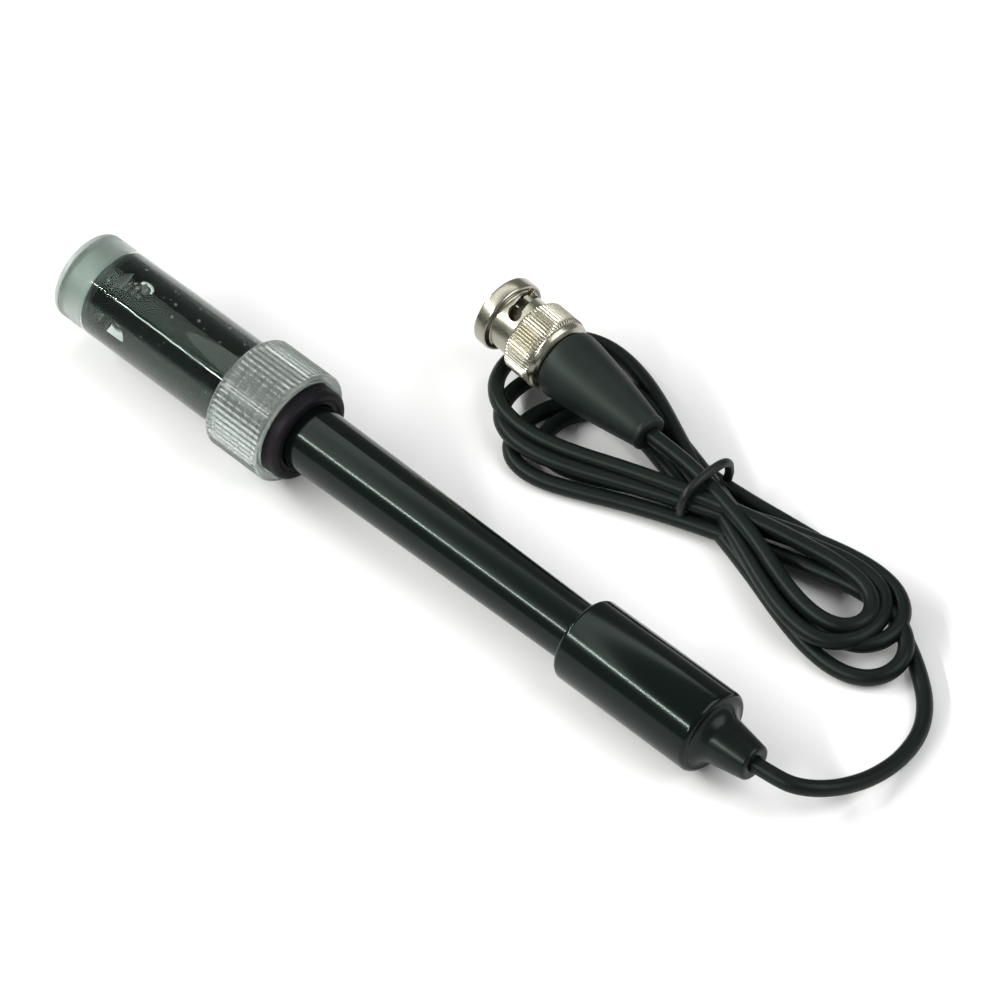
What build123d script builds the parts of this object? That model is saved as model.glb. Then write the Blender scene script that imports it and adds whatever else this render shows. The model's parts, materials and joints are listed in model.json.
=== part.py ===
from build123d import *
from math import atan, cos, pi, radians, sin, sqrt, tan
import os

# Combination pH electrode on its side: stem, handle cap and cable, the storage bottle
# screwed over its tip, the cable tied in a hank, and the bayonet plug lying on the hank.
# +X runs along the electrode from its sensing tip to its cable, +Z is up, the table is z = 0.

# ---------------------------------------------------------------- electrode, from its tip
stem_length = 127.0
stem_radius = 6.25
stem_end_radius = 5.5
stem_end_wall = 0.9
straight_reach = 2.0
guard_length = 9.0
guard_ring_length = 1.3
guard_slot_width = 4.4
bulb_radius = 3.6
bulb_wall = 0.5
bulb_centre = 5.0
glass_radius = 2.5
tip_seal_setback = 1.0
tip_seal_length = 5.0
junction_radius = 0.6
wire_radius = 0.4
reference_start = 42.0
bung_depth = 4.0
bung_length = 7.0
stopper_length = 4.0

# ---------------------------------------------------------------- handle cap and cable entry
cap_radius = 8.0
cap_length = 30.5
cap_round = 1.0
socket_depth = 12.0
cap_end_wall = 3.0
cap_chamber_step = 0.3
cable_radius = 1.5
nozzle_length = 9.5
nozzle_flare_inset = 0.2
nozzle_root_wall = 3.0
nozzle_tip_wall = 1.85
nozzle_flare_length = 2.6
nozzle_neck_wall = 1.6
nozzle_flange_gap = 0.3
nozzle_flange_length = 2.0
clamp_wall = 1.1
clamp_length = 3.0
cable_end_reach = 1.0
joint_wall = 0.5
joint_gap = 0.5
wire_reach = 1.5
core_radius = 0.7
shield_radius = 0.35

# ---------------------------------------------------------------- storage bottle
bottle_gap = 0.95
bottle_wall = 1.4
tip_gap = 8.0
plug_rim_length = 1.5
plug_spigot_length = 5.5
plug_round = 1.0
plug_recess_depth = 3.5
plug_recess_wall = 2.0
mouth_station = 40.0
neck_step = 0.4
thread_height = 0.45
thread_pitch = 2.0
thread_turns = 3
crest_width = 0.8
nut_wall = 1.15
nut_length = 12.6
nut_rim_width = 1.2
nut_rim_drop = 0.3
rib_count = 60
rib_depth = 0.45
nut_lip = 2.2
thread_clearance = 0.3
running_fit = 0.08
ring_flange_step = 0.1
ring_neck_step = 0.45
ring_flange_length = 3.8
ring_proud = 2.7
ring_round = 0.8

# ---------------------------------------------------------------- bayonet plug, from its front face
contact_radius = 4.05
contact_wall = 0.5
contact_start = 0.8
contact_slit = 0.45
contact_slit_length = 6.0
mating_gap = 0.85
neck_wall = 0.9
neck_length = 5.2
flange_height = 1.25
flange_length = 3.0
knurl_height = 1.45
knurl_length = 6.0
knurl_count = 72
knurl_depth = 0.22
shoulder_length = 1.8
shoulder_drop = 0.95
slot_width = 2.3
slot_run = 4.4
slot_slant = 38.0
chamber_wall = 1.15
chamber_start = 9.3
body_start = 9.0
body_bore_taper = 1.0
body_reach = 1.6
body_flange_gap = 0.3
body_flange_start = 9.9
body_flange_length = 1.0
spring_length = 0.9
spring_travel = 0.8
washer_length = 0.6
retainer_length = 0.7
retainer_gap = 0.1
retainer_groove_depth = 0.3
sleeve_clearance = 0.1
spigot_bore_radius = 1.6
spigot_wall = 0.7
spigot_length = 6.4
ferrule_wall = 0.7
pin_radius = 0.68
pin_start = 2.2
pin_collar_radius = 1.2
pin_collar_length = 3.0
insulator_start = 5.6
insulator_length = 6.4
gasket_width = 0.6
gasket_length = 0.7
boot_gap = 0.3
boot_wall = 1.95
boot_lip = 0.5
boot_shoulder_length = 5.0
boot_shoulder_drop = 0.4
boot_end_wall = 2.0
boot_length = 22.7

# ---------------------------------------------------------------- where the plug and the hank lie
plug_front_x = -22.0
plug_front_y = 45.9
plug_rise = 1.15
plug_heading = Vector(39.0, -2.6, -2.6)
hank_height = 7.0
hank_single_height = 3.2
waist_start = 26.0
waist_end = 35.0
waist_width = 12.0
waist_thickness = 8.2
waist_y = 42.5
tie_thickness = 1.4
tie_width = 1.6
tie_x = 30.0

# Corners of the cable's free stretch, chosen by hand, from the electrode's nozzle to the hank.
# The first lies on the electrode's own axis and is worked out from it.
LEAD_POINTS = [
    (87.2, 0.3, 7.6),
    (90.4, 2.0, 7.1),
    (92.8, 5.0, 6.2),
    (94.4, 9.0, 4.9),
    (95.4, 14.5, 3.3),
    (95.4, 21.5, 2.0),
    (93.7, 28.8, 1.5),
    (89.8, 34.6, 1.5),
    (84.4, 39.0, 1.5),
    (79.4, 42.2, 1.5),
]
# Corners of the short stretch from the plug's boot back to the tied waist.
TAIL_POINTS = [(21.2, 42.9, 8.6), (26.1, 43.9, 8.0)]

# Outlines of the two fans of loops, seen from above.
LEFT_FAN = [
    (23, 34), (16, 28), (6, 23.8), (-2, 24), (-9, 27), (-16, 33), (-19.8, 41), (-18.5, 50),
    (-13.5, 58), (-7, 60), (1, 60.5), (11, 58.6), (21, 53.5),
]
LEFT_PILE = [
    (23, 34.5), (16, 28.5), (6, 24.3), (-2, 24.5), (-9, 27.5), (-15.5, 33), (-17.5, 36.8),
    (3, 36.8), (21, 36.4),
]
RIGHT_FAN = [
    (39.5, 50), (49, 51.6), (57, 52), (65, 51), (72, 48.6), (77.5, 45), (82, 41), (83, 35.5),
    (80.5, 30.5), (75.5, 28.3), (67, 28.2), (58, 28.6), (49, 31.6), (41, 35),
]

# ---------------------------------------------------------------- sizes that follow
stem_bore_radius = stem_end_radius - stem_end_wall
wire_offset = (glass_radius + stem_bore_radius) / 2
tip_seal_start = guard_length + tip_seal_setback
bung_start = stem_length - bung_depth - bung_length
glass_top = stem_length - bung_depth

cap_start = stem_length - socket_depth
cap_end = cap_start + cap_length
chamber_end = cap_end - cap_end_wall
chamber_radius = stem_end_radius - cap_chamber_step
nozzle_end = cap_end + nozzle_length
nozzle_flare_radius = cap_radius - cap_round - nozzle_flare_inset
nozzle_root_radius = cable_radius + nozzle_root_wall
nozzle_tip_radius = cable_radius + nozzle_tip_wall
nozzle_neck_radius = cable_radius + nozzle_neck_wall
nozzle_flange_radius = chamber_radius - nozzle_flange_gap
nozzle_flange_start = chamber_end - nozzle_flange_length
clamp_start = nozzle_flange_start - clamp_length
cable_end = clamp_start - cable_end_reach
joint_start = stem_length + joint_gap
joint_end = (joint_start + cable_end) / 2
joint_radius = core_radius + joint_wall
wire_end = joint_start + wire_reach

bottle_bore_radius = stem_radius + bottle_gap
bottle_radius = bottle_bore_radius + bottle_wall
bottle_end = -tip_gap
tube_start = bottle_end + plug_rim_length
thread_root_radius = bottle_radius + neck_step
thread_crest_radius = thread_root_radius + thread_height
thread_start = mouth_station - thread_pitch * thread_turns
ring_flange_radius = thread_crest_radius + ring_flange_step
ring_radius = ring_flange_radius - ring_neck_step
flange_end = mouth_station + ring_flange_length
nut_end = flange_end + nut_lip
nut_start = nut_end - nut_length
ring_end = nut_end + ring_proud
straight_length = ring_end + straight_reach
nut_bore_radius = ring_flange_radius + thread_clearance
nut_lip_radius = ring_radius + thread_clearance
nut_radius = nut_bore_radius + nut_wall

mating_bore_radius = contact_radius + mating_gap
neck_radius = mating_bore_radius + neck_wall
flange_radius = neck_radius + flange_height
knurl_radius = neck_radius + knurl_height
neck_end = flange_length + neck_length
knurl_end = neck_end + knurl_length
sleeve_length = knurl_end + shoulder_length
shoulder_radius = knurl_radius - shoulder_drop
spring_chamber_radius = knurl_radius - chamber_wall
contact_bore_radius = contact_radius - contact_wall
body_radius = mating_bore_radius - sleeve_clearance
body_end = sleeve_length + body_reach
body_flange_radius = spring_chamber_radius - body_flange_gap
body_flange_end = body_flange_start + body_flange_length
washer_start = body_flange_end + spring_length + spring_travel
retainer_start = washer_start + washer_length + retainer_gap
retainer_end = retainer_start + retainer_length
rear_bore_radius = body_radius + sleeve_clearance
spigot_radius = spigot_bore_radius + spigot_wall
spigot_end = body_end + spigot_length
ferrule_radius = spigot_radius + ferrule_wall
insulator_end = insulator_start + insulator_length
pin_end = insulator_end + pin_collar_length
boot_start = sleeve_length + boot_gap
boot_end = boot_start + boot_length
boot_radius = body_radius + boot_wall
boot_end_radius = cable_radius + boot_end_wall

# The nut and the handle cap both rest on the table, so the electrode's axis slopes to the cap.
nut_rest = nut_end - nut_rim_width
cap_rest = cap_end - cap_round
slope = atan((nut_radius - cap_radius) / (cap_rest - nut_rest))
axis_dir = Vector(cos(slope), 0, -sin(slope))
tip_height = nut_radius * cos(slope) + nut_rest * sin(slope)
low_x = bottle_end * cos(slope) - (bottle_radius - plug_round) * sin(slope)
high_x = nozzle_end * cos(slope) + nozzle_tip_radius * sin(slope)
tip_point = Vector(-(low_x + high_x) / 2, 0, tip_height)
electrode = Plane(origin=tip_point, x_dir=axis_dir, z_dir=(0, -1, 0))
electrode_axis = Axis(tip_point, axis_dir)

plug_front = Vector(plug_front_x, plug_front_y, hank_single_height + knurl_radius + plug_rise)
plug_dir = plug_heading.normalized()
plug_side = Vector(0, 0, 1).cross(plug_dir).normalized()
plug = Plane(origin=plug_front, x_dir=plug_dir, z_dir=-plug_side)
plug_axis = Axis(plug_front, plug_dir)


def across(line, station):
    """The plane that crosses the electrode or the plug at a distance along it."""
    return Plane(origin=line.origin + line.x_dir * station, x_dir=line.y_dir, z_dir=line.x_dir)


def corner_radii(points):
    """Arc radii that share each run between its two corners."""
    radii = []
    for before, here, after in zip(points, points[1:], points[2:]):
        arriving = Vector(here) - Vector(before)
        leaving = Vector(after) - Vector(here)
        turn = radians(arriving.get_angle(leaving))
        radii.append(0.45 * min(arriving.length, leaving.length) / tan(turn / 2))
    return radii


def save(part, name):
    part.label = name
    export_step(part, "parts/" + name + ".step")


os.makedirs("parts", exist_ok=True)

# ================================================================ electrode
with BuildPart() as stem_tube:
    with BuildSketch(electrode):
        with BuildLine():
            Polyline(
                (0, stem_bore_radius),
                (0, stem_radius),
                (straight_length, stem_radius),
                (cap_start, stem_end_radius),
                (stem_length, stem_end_radius),
                (stem_length, stem_bore_radius),
                close=True,
            )
        make_face()
    revolve(axis=electrode_axis)
    for guard_facing in (electrode.y_dir, electrode.z_dir):
        with BuildSketch(Plane(origin=tip_point, x_dir=axis_dir, z_dir=guard_facing)):
            with Locations(((guard_ring_length + guard_length) / 2, 0)):
                SlotOverall(guard_length - guard_ring_length, guard_slot_width)
        extrude(amount=2 * stem_radius, both=True, mode=Mode.SUBTRACT)
save(stem_tube.part, "stem_tube")

# The pH-sensitive glass: a thin bulb blown on the end of the inner glass tube.
bulb_reach = sqrt(bulb_radius**2 - glass_radius**2)
bulb_bore_radius = bulb_radius - bulb_wall
glass_bore_radius = sqrt(bulb_bore_radius**2 - bulb_reach**2)
glass_start = bulb_centre + bulb_reach
with BuildPart() as glass_bulb:
    with BuildSketch(electrode):
        with BuildLine():
            ThreePointArc(
                (bulb_centre - bulb_radius, 0),
                (bulb_centre, bulb_radius),
                (glass_start, glass_radius),
            )
            Line((glass_start, glass_radius), (glass_start, glass_bore_radius))
            ThreePointArc(
                (glass_start, glass_bore_radius),
                (bulb_centre, bulb_bore_radius),
                (bulb_centre - bulb_bore_radius, 0),
            )
            Line((bulb_centre - bulb_bore_radius, 0), (bulb_centre - bulb_radius, 0))
        make_face()
    revolve(axis=electrode_axis)
save(glass_bulb.part, "glass_bulb")

with BuildPart() as inner_glass_tube:
    with BuildSketch(across(electrode, glass_start)):
        Circle(glass_radius)
        Circle(glass_bore_radius, mode=Mode.SUBTRACT)
    extrude(amount=glass_top - glass_start)
save(inner_glass_tube.part, "inner_glass_tube")

with BuildPart() as tip_seal:
    with BuildSketch(across(electrode, tip_seal_start)):
        Circle(stem_bore_radius)
        Circle(glass_radius, mode=Mode.SUBTRACT)
        with Locations((wire_offset, 0)):
            Circle(junction_radius, mode=Mode.SUBTRACT)
    extrude(amount=tip_seal_length)
save(tip_seal.part, "tip_seal")

with BuildPart() as reference_junction:
    with BuildSketch(across(electrode, tip_seal_start)):
        with Locations((wire_offset, 0)):
            Circle(junction_radius)
    extrude(amount=tip_seal_length)
save(reference_junction.part, "reference_junction")

with BuildPart() as measuring_wire:
    with BuildSketch(across(electrode, bulb_centre)):
        Circle(wire_radius)
    extrude(amount=wire_end - bulb_centre)
save(measuring_wire.part, "measuring_wire")

with BuildPart() as reference_wire:
    with BuildSketch(across(electrode, reference_start)):
        with Locations((wire_offset, 0)):
            Circle(wire_radius)
    extrude(amount=wire_end - reference_start)
save(reference_wire.part, "reference_wire")

with BuildPart() as chamber_bung:
    with BuildSketch(across(electrode, bung_start)):
        Circle(stem_bore_radius)
        Circle(glass_radius, mode=Mode.SUBTRACT)
        with Locations((wire_offset, 0)):
            Circle(wire_radius, mode=Mode.SUBTRACT)
    extrude(amount=bung_length)
save(chamber_bung.part, "chamber_bung")

with BuildPart() as glass_stopper:
    with BuildSketch(across(electrode, glass_top - stopper_length)):
        Circle(glass_bore_radius)
        Circle(wire_radius, mode=Mode.SUBTRACT)
    extrude(amount=stopper_length)
save(glass_stopper.part, "glass_stopper")

# ================================================================ handle cap and cable entry
with BuildPart() as handle_cap:
    with BuildSketch(across(electrode, cap_start)):
        Circle(cap_radius)
    extrude(amount=cap_length)
    fillet(edges().filter_by(GeomType.CIRCLE), cap_round)
    with BuildSketch(across(electrode, cap_start)):
        Circle(stem_end_radius)
    extrude(amount=socket_depth, mode=Mode.SUBTRACT)
    with BuildSketch(across(electrode, stem_length)):
        Circle(chamber_radius)
    extrude(amount=chamber_end - stem_length, mode=Mode.SUBTRACT)
    with BuildSketch(across(electrode, chamber_end)):
        Circle(nozzle_neck_radius)
    extrude(amount=cap_end_wall, mode=Mode.SUBTRACT)
save(handle_cap.part, "handle_cap")

with BuildPart() as cable_nozzle:
    with BuildSketch(electrode):
        with BuildLine():
            Polyline(
                (cap_end, nozzle_flare_radius),
                (cap_end, nozzle_neck_radius),
                (chamber_end, nozzle_neck_radius),
                (chamber_end, nozzle_flange_radius),
                (nozzle_flange_start, nozzle_flange_radius),
                (nozzle_flange_start, cable_radius),
                (nozzle_end, cable_radius),
                (nozzle_end, nozzle_tip_radius),
                (cap_end + nozzle_flare_length, nozzle_root_radius),
            )
            RadiusArc(
                (cap_end + nozzle_flare_length, nozzle_root_radius),
                (cap_end, nozzle_flare_radius),
                -2 * nozzle_flare_length,
            )
        make_face()
    revolve(axis=electrode_axis)
save(cable_nozzle.part, "cable_nozzle")

with BuildPart() as cable_entry:
    with BuildSketch(across(electrode, cable_end)):
        Circle(cable_radius)
    extrude(amount=nozzle_end - cable_end)
save(cable_entry.part, "cable_entry")

with BuildPart() as cable_clamp:
    with BuildSketch(across(electrode, clamp_start)):
        Circle(cable_radius + clamp_wall)
        Circle(cable_radius, mode=Mode.SUBTRACT)
    extrude(amount=clamp_length)
save(cable_clamp.part, "cable_clamp")

with BuildPart() as core_joint:
    with BuildSketch(across(electrode, joint_start)):
        Circle(joint_radius)
        Circle(wire_radius, mode=Mode.SUBTRACT)
    extrude(amount=wire_end - joint_start)
    with BuildSketch(across(electrode, wire_end)):
        Circle(joint_radius)
        Circle(core_radius, mode=Mode.SUBTRACT)
    extrude(amount=joint_end - wire_end)
save(core_joint.part, "core_joint")

with BuildPart() as core_lead:
    with BuildSketch(across(electrode, wire_end)):
        Circle(core_radius)
    extrude(amount=cable_end - wire_end)
save(core_lead.part, "core_lead")

with BuildPart() as shield_joint:
    with BuildSketch(across(electrode, joint_start)):
        with Locations((wire_offset, 0)):
            Circle(joint_radius)
            Circle(wire_radius, mode=Mode.SUBTRACT)
    extrude(amount=wire_end - joint_start)
    with BuildSketch(across(electrode, wire_end)):
        with Locations((wire_offset, 0)):
            Circle(joint_radius)
            Circle(shield_radius, mode=Mode.SUBTRACT)
    extrude(amount=joint_end - wire_end)
save(shield_joint.part, "shield_joint")

shield_inset = (core_radius + cable_radius) / 2
with BuildPart() as shield_lead:
    with BuildLine(electrode):
        FilletPolyline(
            (wire_end, wire_offset),
            (joint_end + 2 * shield_radius, wire_offset),
            (cable_end, shield_inset),
            radius=4 * shield_radius,
        )
    with BuildSketch(across(electrode, wire_end)):
        with Locations((wire_offset, 0)):
            Circle(shield_radius)
    sweep()
save(shield_lead.part, "shield_lead")

# ================================================================ storage bottle
with BuildPart() as bottle_tube:
    with BuildSketch(across(electrode, tube_start)):
        Circle(bottle_radius)
    extrude(amount=mouth_station - tube_start)
    with BuildSketch(across(electrode, thread_start)):
        Circle(thread_root_radius)
    extrude(amount=mouth_station - thread_start)
    for turn in range(thread_turns):
        crest = thread_start + thread_pitch * (turn + 0.5) - crest_width / 2
        with BuildSketch(across(electrode, crest)):
            Circle(thread_crest_radius)
        extrude(amount=crest_width)
    with BuildSketch(across(electrode, tube_start)):
        Circle(bottle_bore_radius)
    extrude(amount=mouth_station - tube_start, mode=Mode.SUBTRACT)
save(bottle_tube.part, "bottle_tube")

with BuildPart() as bottle_end_plug:
    with BuildSketch(across(electrode, bottle_end)):
        Circle(bottle_radius)
    extrude(amount=plug_rim_length)
    fillet(edges().group_by(Axis.X)[0], plug_round)
    with BuildSketch(across(electrode, tube_start)):
        Circle(bottle_bore_radius)
    extrude(amount=plug_spigot_length)
    with BuildSketch(across(electrode, tube_start + plug_spigot_length - plug_recess_depth)):
        Circle(bottle_bore_radius - plug_recess_wall)
    extrude(amount=plug_recess_depth, mode=Mode.SUBTRACT)
save(bottle_end_plug.part, "bottle_end_plug")

rim_radius = nut_radius - nut_rim_drop
with BuildPart() as bottle_nut:
    with BuildSketch(across(electrode, nut_start)):
        Circle(nut_radius)
    extrude(amount=nut_length)
    with BuildSketch(across(electrode, nut_start)):
        Circle(nut_radius)
        Circle(rim_radius, mode=Mode.SUBTRACT)
    extrude(amount=nut_rim_width, mode=Mode.SUBTRACT)
    rib_pitch = 2 * pi * nut_radius / rib_count
    with BuildSketch(across(electrode, nut_start + nut_rim_width)):
        with PolarLocations(nut_radius, rib_count, start_angle=180 / rib_count):
            Rectangle(2 * rib_depth, rib_pitch / 2)
    extrude(amount=nut_length - 2 * nut_rim_width, mode=Mode.SUBTRACT)
    with BuildSketch(across(electrode, nut_start)):
        Circle(nut_bore_radius)
    extrude(amount=nut_length - nut_lip, mode=Mode.SUBTRACT)
    with BuildSketch(across(electrode, flange_end)):
        Circle(nut_lip_radius)
    extrude(amount=nut_lip, mode=Mode.SUBTRACT)
save(bottle_nut.part, "bottle_nut")

with BuildPart() as seal_ring:
    with BuildSketch(across(electrode, mouth_station)):
        Circle(ring_flange_radius)
    extrude(amount=ring_flange_length)
    with BuildSketch(across(electrode, flange_end)):
        Circle(ring_radius)
    extrude(amount=ring_end - flange_end)
    fillet(edges().group_by(Axis.X)[-1], ring_round)
    with BuildSketch(across(electrode, mouth_station)):
        Circle(stem_radius + running_fit)
    extrude(amount=ring_end - mouth_station, mode=Mode.SUBTRACT)
save(seal_ring.part, "seal_ring")

# ================================================================ bayonet plug
with BuildPart() as coupling_sleeve:
    with BuildSketch(plug):
        with BuildLine():
            Polyline(
                (0, mating_bore_radius),
                (0, flange_radius),
                (flange_length, flange_radius),
                (flange_length, neck_radius),
                (neck_end, neck_radius),
                (neck_end, knurl_radius),
                (knurl_end, knurl_radius),
                (sleeve_length, shoulder_radius),
                (sleeve_length, rear_bore_radius),
                (retainer_end, rear_bore_radius),
                (retainer_end, spring_chamber_radius + retainer_groove_depth),
                (retainer_start, spring_chamber_radius + retainer_groove_depth),
                (retainer_start, spring_chamber_radius),
                (chamber_start, spring_chamber_radius),
                (chamber_start, mating_bore_radius),
                close=True,
            )
        make_face()
    revolve(axis=plug_axis)
    with BuildSketch(across(plug, neck_end)):
        with PolarLocations(knurl_radius, knurl_count):
            Rectangle(2 * knurl_depth, pi * knurl_radius / knurl_count)
    extrude(amount=knurl_length, mode=Mode.SUBTRACT)
    slot_middle = flange_length + neck_length / 2
    for side in (1, -1):
        slot_plane = Plane(
            origin=plug_front + plug_dir * slot_middle,
            x_dir=plug_dir,
            z_dir=plug.y_dir * side,
        )
        with BuildSketch(slot_plane.offset(contact_radius + contact_wall)):
            SlotCenterToCenter(slot_run, slot_width, rotation=slot_slant)
        extrude(amount=neck_radius, mode=Mode.SUBTRACT)
save(coupling_sleeve.part, "coupling_sleeve")

with BuildPart() as retaining_ring:
    with BuildSketch(across(plug, retainer_start)):
        Circle(spring_chamber_radius + retainer_groove_depth)
        Circle(rear_bore_radius, mode=Mode.SUBTRACT)
    extrude(amount=retainer_length)
save(retaining_ring.part, "retaining_ring")

with BuildPart() as thrust_washer:
    with BuildSketch(across(plug, washer_start)):
        Circle(spring_chamber_radius - sleeve_clearance)
        Circle(rear_bore_radius, mode=Mode.SUBTRACT)
    extrude(amount=washer_length)
save(thrust_washer.part, "thrust_washer")

with BuildPart() as spring_washer:
    with BuildSketch(across(plug, body_flange_end)):
        Circle(spring_chamber_radius - sleeve_clearance)
        Circle(rear_bore_radius, mode=Mode.SUBTRACT)
    extrude(amount=spring_length)
save(spring_washer.part, "spring_washer")

with BuildPart() as plug_body:
    with BuildSketch(plug):
        with BuildLine():
            Polyline(
                (contact_start, contact_bore_radius),
                (contact_start, contact_radius),
                (body_start, contact_radius),
                (body_start, body_radius),
                (body_flange_start, body_radius),
                (body_flange_start, body_flange_radius),
                (body_flange_end, body_flange_radius),
                (body_flange_end, body_radius),
                (body_end, body_radius),
                (body_end, spigot_radius),
                (spigot_end, spigot_radius),
                (spigot_end, spigot_bore_radius),
                (body_end, spigot_bore_radius),
                (body_end - body_bore_taper, contact_bore_radius),
                close=True,
            )
        make_face()
    revolve(axis=plug_axis)
    with Locations(plug.location):
        with Locations((contact_start + contact_slit_length / 2, 0, 0)):
            Box(contact_slit_length, 3 * contact_radius, contact_slit, mode=Mode.SUBTRACT)
            Box(contact_slit_length, contact_slit, 3 * contact_radius, mode=Mode.SUBTRACT)
save(plug_body.part, "plug_body")

with BuildPart() as pin_insulator:
    with BuildSketch(across(plug, insulator_start)):
        Circle(contact_bore_radius)
        Circle(pin_radius, mode=Mode.SUBTRACT)
    extrude(amount=insulator_end - insulator_start)
save(pin_insulator.part, "pin_insulator")

with BuildPart() as centre_pin:
    with BuildSketch(across(plug, pin_start)):
        Circle(pin_radius)
    extrude(amount=insulator_end - pin_start)
    with BuildSketch(across(plug, insulator_end)):
        Circle(pin_collar_radius)
    extrude(amount=pin_end - insulator_end)
    fillet(edges().sort_by(plug_axis)[0], pin_radius / 2)
save(centre_pin.part, "centre_pin")

with BuildPart() as face_gasket:
    with BuildSketch(across(plug, body_start - gasket_length)):
        Circle(contact_radius + gasket_width)
        Circle(contact_radius, mode=Mode.SUBTRACT)
    extrude(amount=gasket_length)
save(face_gasket.part, "face_gasket")

with BuildPart() as crimp_ferrule:
    with BuildSketch(across(plug, body_end)):
        Circle(ferrule_radius)
        Circle(spigot_radius, mode=Mode.SUBTRACT)
    extrude(amount=spigot_end - body_end)
save(crimp_ferrule.part, "crimp_ferrule")

with BuildPart() as plug_core:
    with BuildSketch(across(plug, pin_end)):
        Circle(core_radius)
    extrude(amount=spigot_end - pin_end)
save(plug_core.part, "plug_core")

with BuildPart() as plug_boot:
    with BuildSketch(plug):
        with BuildLine():
            Polyline(
                (boot_start, body_radius),
                (boot_start, boot_radius - boot_lip),
                (boot_start + boot_lip, boot_radius),
                (boot_start + boot_shoulder_length, boot_radius - boot_shoulder_drop),
                (boot_end, boot_end_radius),
                (boot_end, cable_radius),
                (spigot_end, cable_radius),
                (spigot_end, ferrule_radius),
                (body_end, ferrule_radius),
                (body_end, body_radius),
                close=True,
            )
        make_face()
    revolve(axis=plug_axis)
save(plug_boot.part, "plug_boot")

with BuildPart() as boot_cable:
    with BuildSketch(across(plug, spigot_end)):
        Circle(cable_radius)
    extrude(amount=boot_end - spigot_end)
save(boot_cable.part, "boot_cable")

# ================================================================ cable and hank
lead_corners = [electrode.origin + electrode.x_dir * nozzle_end] + [Vector(p) for p in LEAD_POINTS]
tail_corners = [plug.origin + plug.x_dir * boot_end] + [Vector(p) for p in TAIL_POINTS]
for cord_name, corners in (("cord_lead", lead_corners), ("cord_tail", tail_corners)):
    radii = corner_radii(corners)
    with BuildPart() as cord:
        with BuildLine() as route:
            FilletPolyline(*corners, radius=radii)
        path = route.wire()
        with BuildSketch(Plane(origin=path @ 0, z_dir=path % 0)):
            Circle(cable_radius)
        sweep(path=path)
    run = path.length
    expected = run * pi * cable_radius**2
    print(cord_name, "radii", [round(r, 1) for r in radii])
    print(cord_name, "length", round(run, 1), "volume ratio", round(cord.part.volume / expected, 4))
    save(cord.part, cord_name)

waist_low = waist_y - waist_width / 2
waist_high = waist_y + waist_width / 2
waist_middle = tie_thickness + waist_thickness / 2
waist_corner = waist_thickness / 3
waist_section = Plane(origin=(waist_start, waist_y, waist_middle), x_dir=(0, 1, 0), z_dir=(1, 0, 0))
with BuildPart() as hank_left:
    with BuildSketch(Plane.XY):
        with BuildLine():
            Polyline((waist_start, waist_low), *LEFT_FAN, (waist_start, waist_high), close=True)
        make_face()
    extrude(amount=hank_single_height)
    with BuildSketch(Plane.XY):
        with BuildLine():
            Polyline(*LEFT_PILE, close=True)
        make_face()
    extrude(amount=hank_height)
save(hank_left.part, "hank_left")

with BuildPart() as hank_right:
    with BuildSketch(Plane.XY):
        with BuildLine():
            Polyline((waist_end, waist_high), *RIGHT_FAN, (waist_end, waist_low), close=True)
        make_face()
    extrude(amount=hank_height)
    with BuildSketch(waist_section):
        RectangleRounded(waist_width, waist_thickness, waist_corner)
    extrude(amount=waist_end - waist_start)
save(hank_right.part, "hank_right")

with BuildPart() as cord_tie:
    with BuildSketch(waist_section.offset(tie_x - waist_start)):
        RectangleRounded(
            waist_width + 2 * tie_thickness,
            waist_thickness + 2 * tie_thickness,
            waist_corner + tie_thickness,
        )
        RectangleRounded(waist_width, waist_thickness, waist_corner, mode=Mode.SUBTRACT)
    extrude(amount=tie_width)
save(cord_tie.part, "cord_tie")
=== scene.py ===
import json
import math
import random
import bpy
import bmesh
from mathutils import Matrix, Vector


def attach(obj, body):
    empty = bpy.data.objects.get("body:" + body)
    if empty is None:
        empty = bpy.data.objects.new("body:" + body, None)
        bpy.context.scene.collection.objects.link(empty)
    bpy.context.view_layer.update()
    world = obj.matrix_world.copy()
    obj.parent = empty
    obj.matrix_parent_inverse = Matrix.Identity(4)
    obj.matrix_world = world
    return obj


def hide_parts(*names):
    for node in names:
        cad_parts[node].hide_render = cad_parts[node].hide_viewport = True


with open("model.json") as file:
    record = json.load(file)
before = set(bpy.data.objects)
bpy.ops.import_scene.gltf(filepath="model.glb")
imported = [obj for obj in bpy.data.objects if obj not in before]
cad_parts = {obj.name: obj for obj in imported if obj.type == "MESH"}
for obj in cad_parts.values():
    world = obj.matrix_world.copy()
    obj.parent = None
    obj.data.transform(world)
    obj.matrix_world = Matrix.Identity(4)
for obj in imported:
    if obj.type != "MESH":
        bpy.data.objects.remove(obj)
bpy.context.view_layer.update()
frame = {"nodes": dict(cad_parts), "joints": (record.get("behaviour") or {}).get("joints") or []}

MM = 0.001

# ------------------------------------------------------------------ table, light and camera
# A flat white card, a broad soft box high behind the electrode, a narrow strip lamp that
# draws the thin line of light along every tube, and a soft fill from the cap's end.
def lamp(name, place, target, width, height, power, colour):
    light = bpy.data.lights.new(name, "AREA")
    light.shape = "RECTANGLE"
    light.size, light.size_y = width, height
    light.energy = power
    light.color = colour
    obj = bpy.data.objects.new(name, light)
    bpy.context.collection.objects.link(obj)
    obj.location = place
    obj.rotation_euler = (Vector(target) - Vector(place)).to_track_quat("-Z", "Y").to_euler()
    return obj


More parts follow.
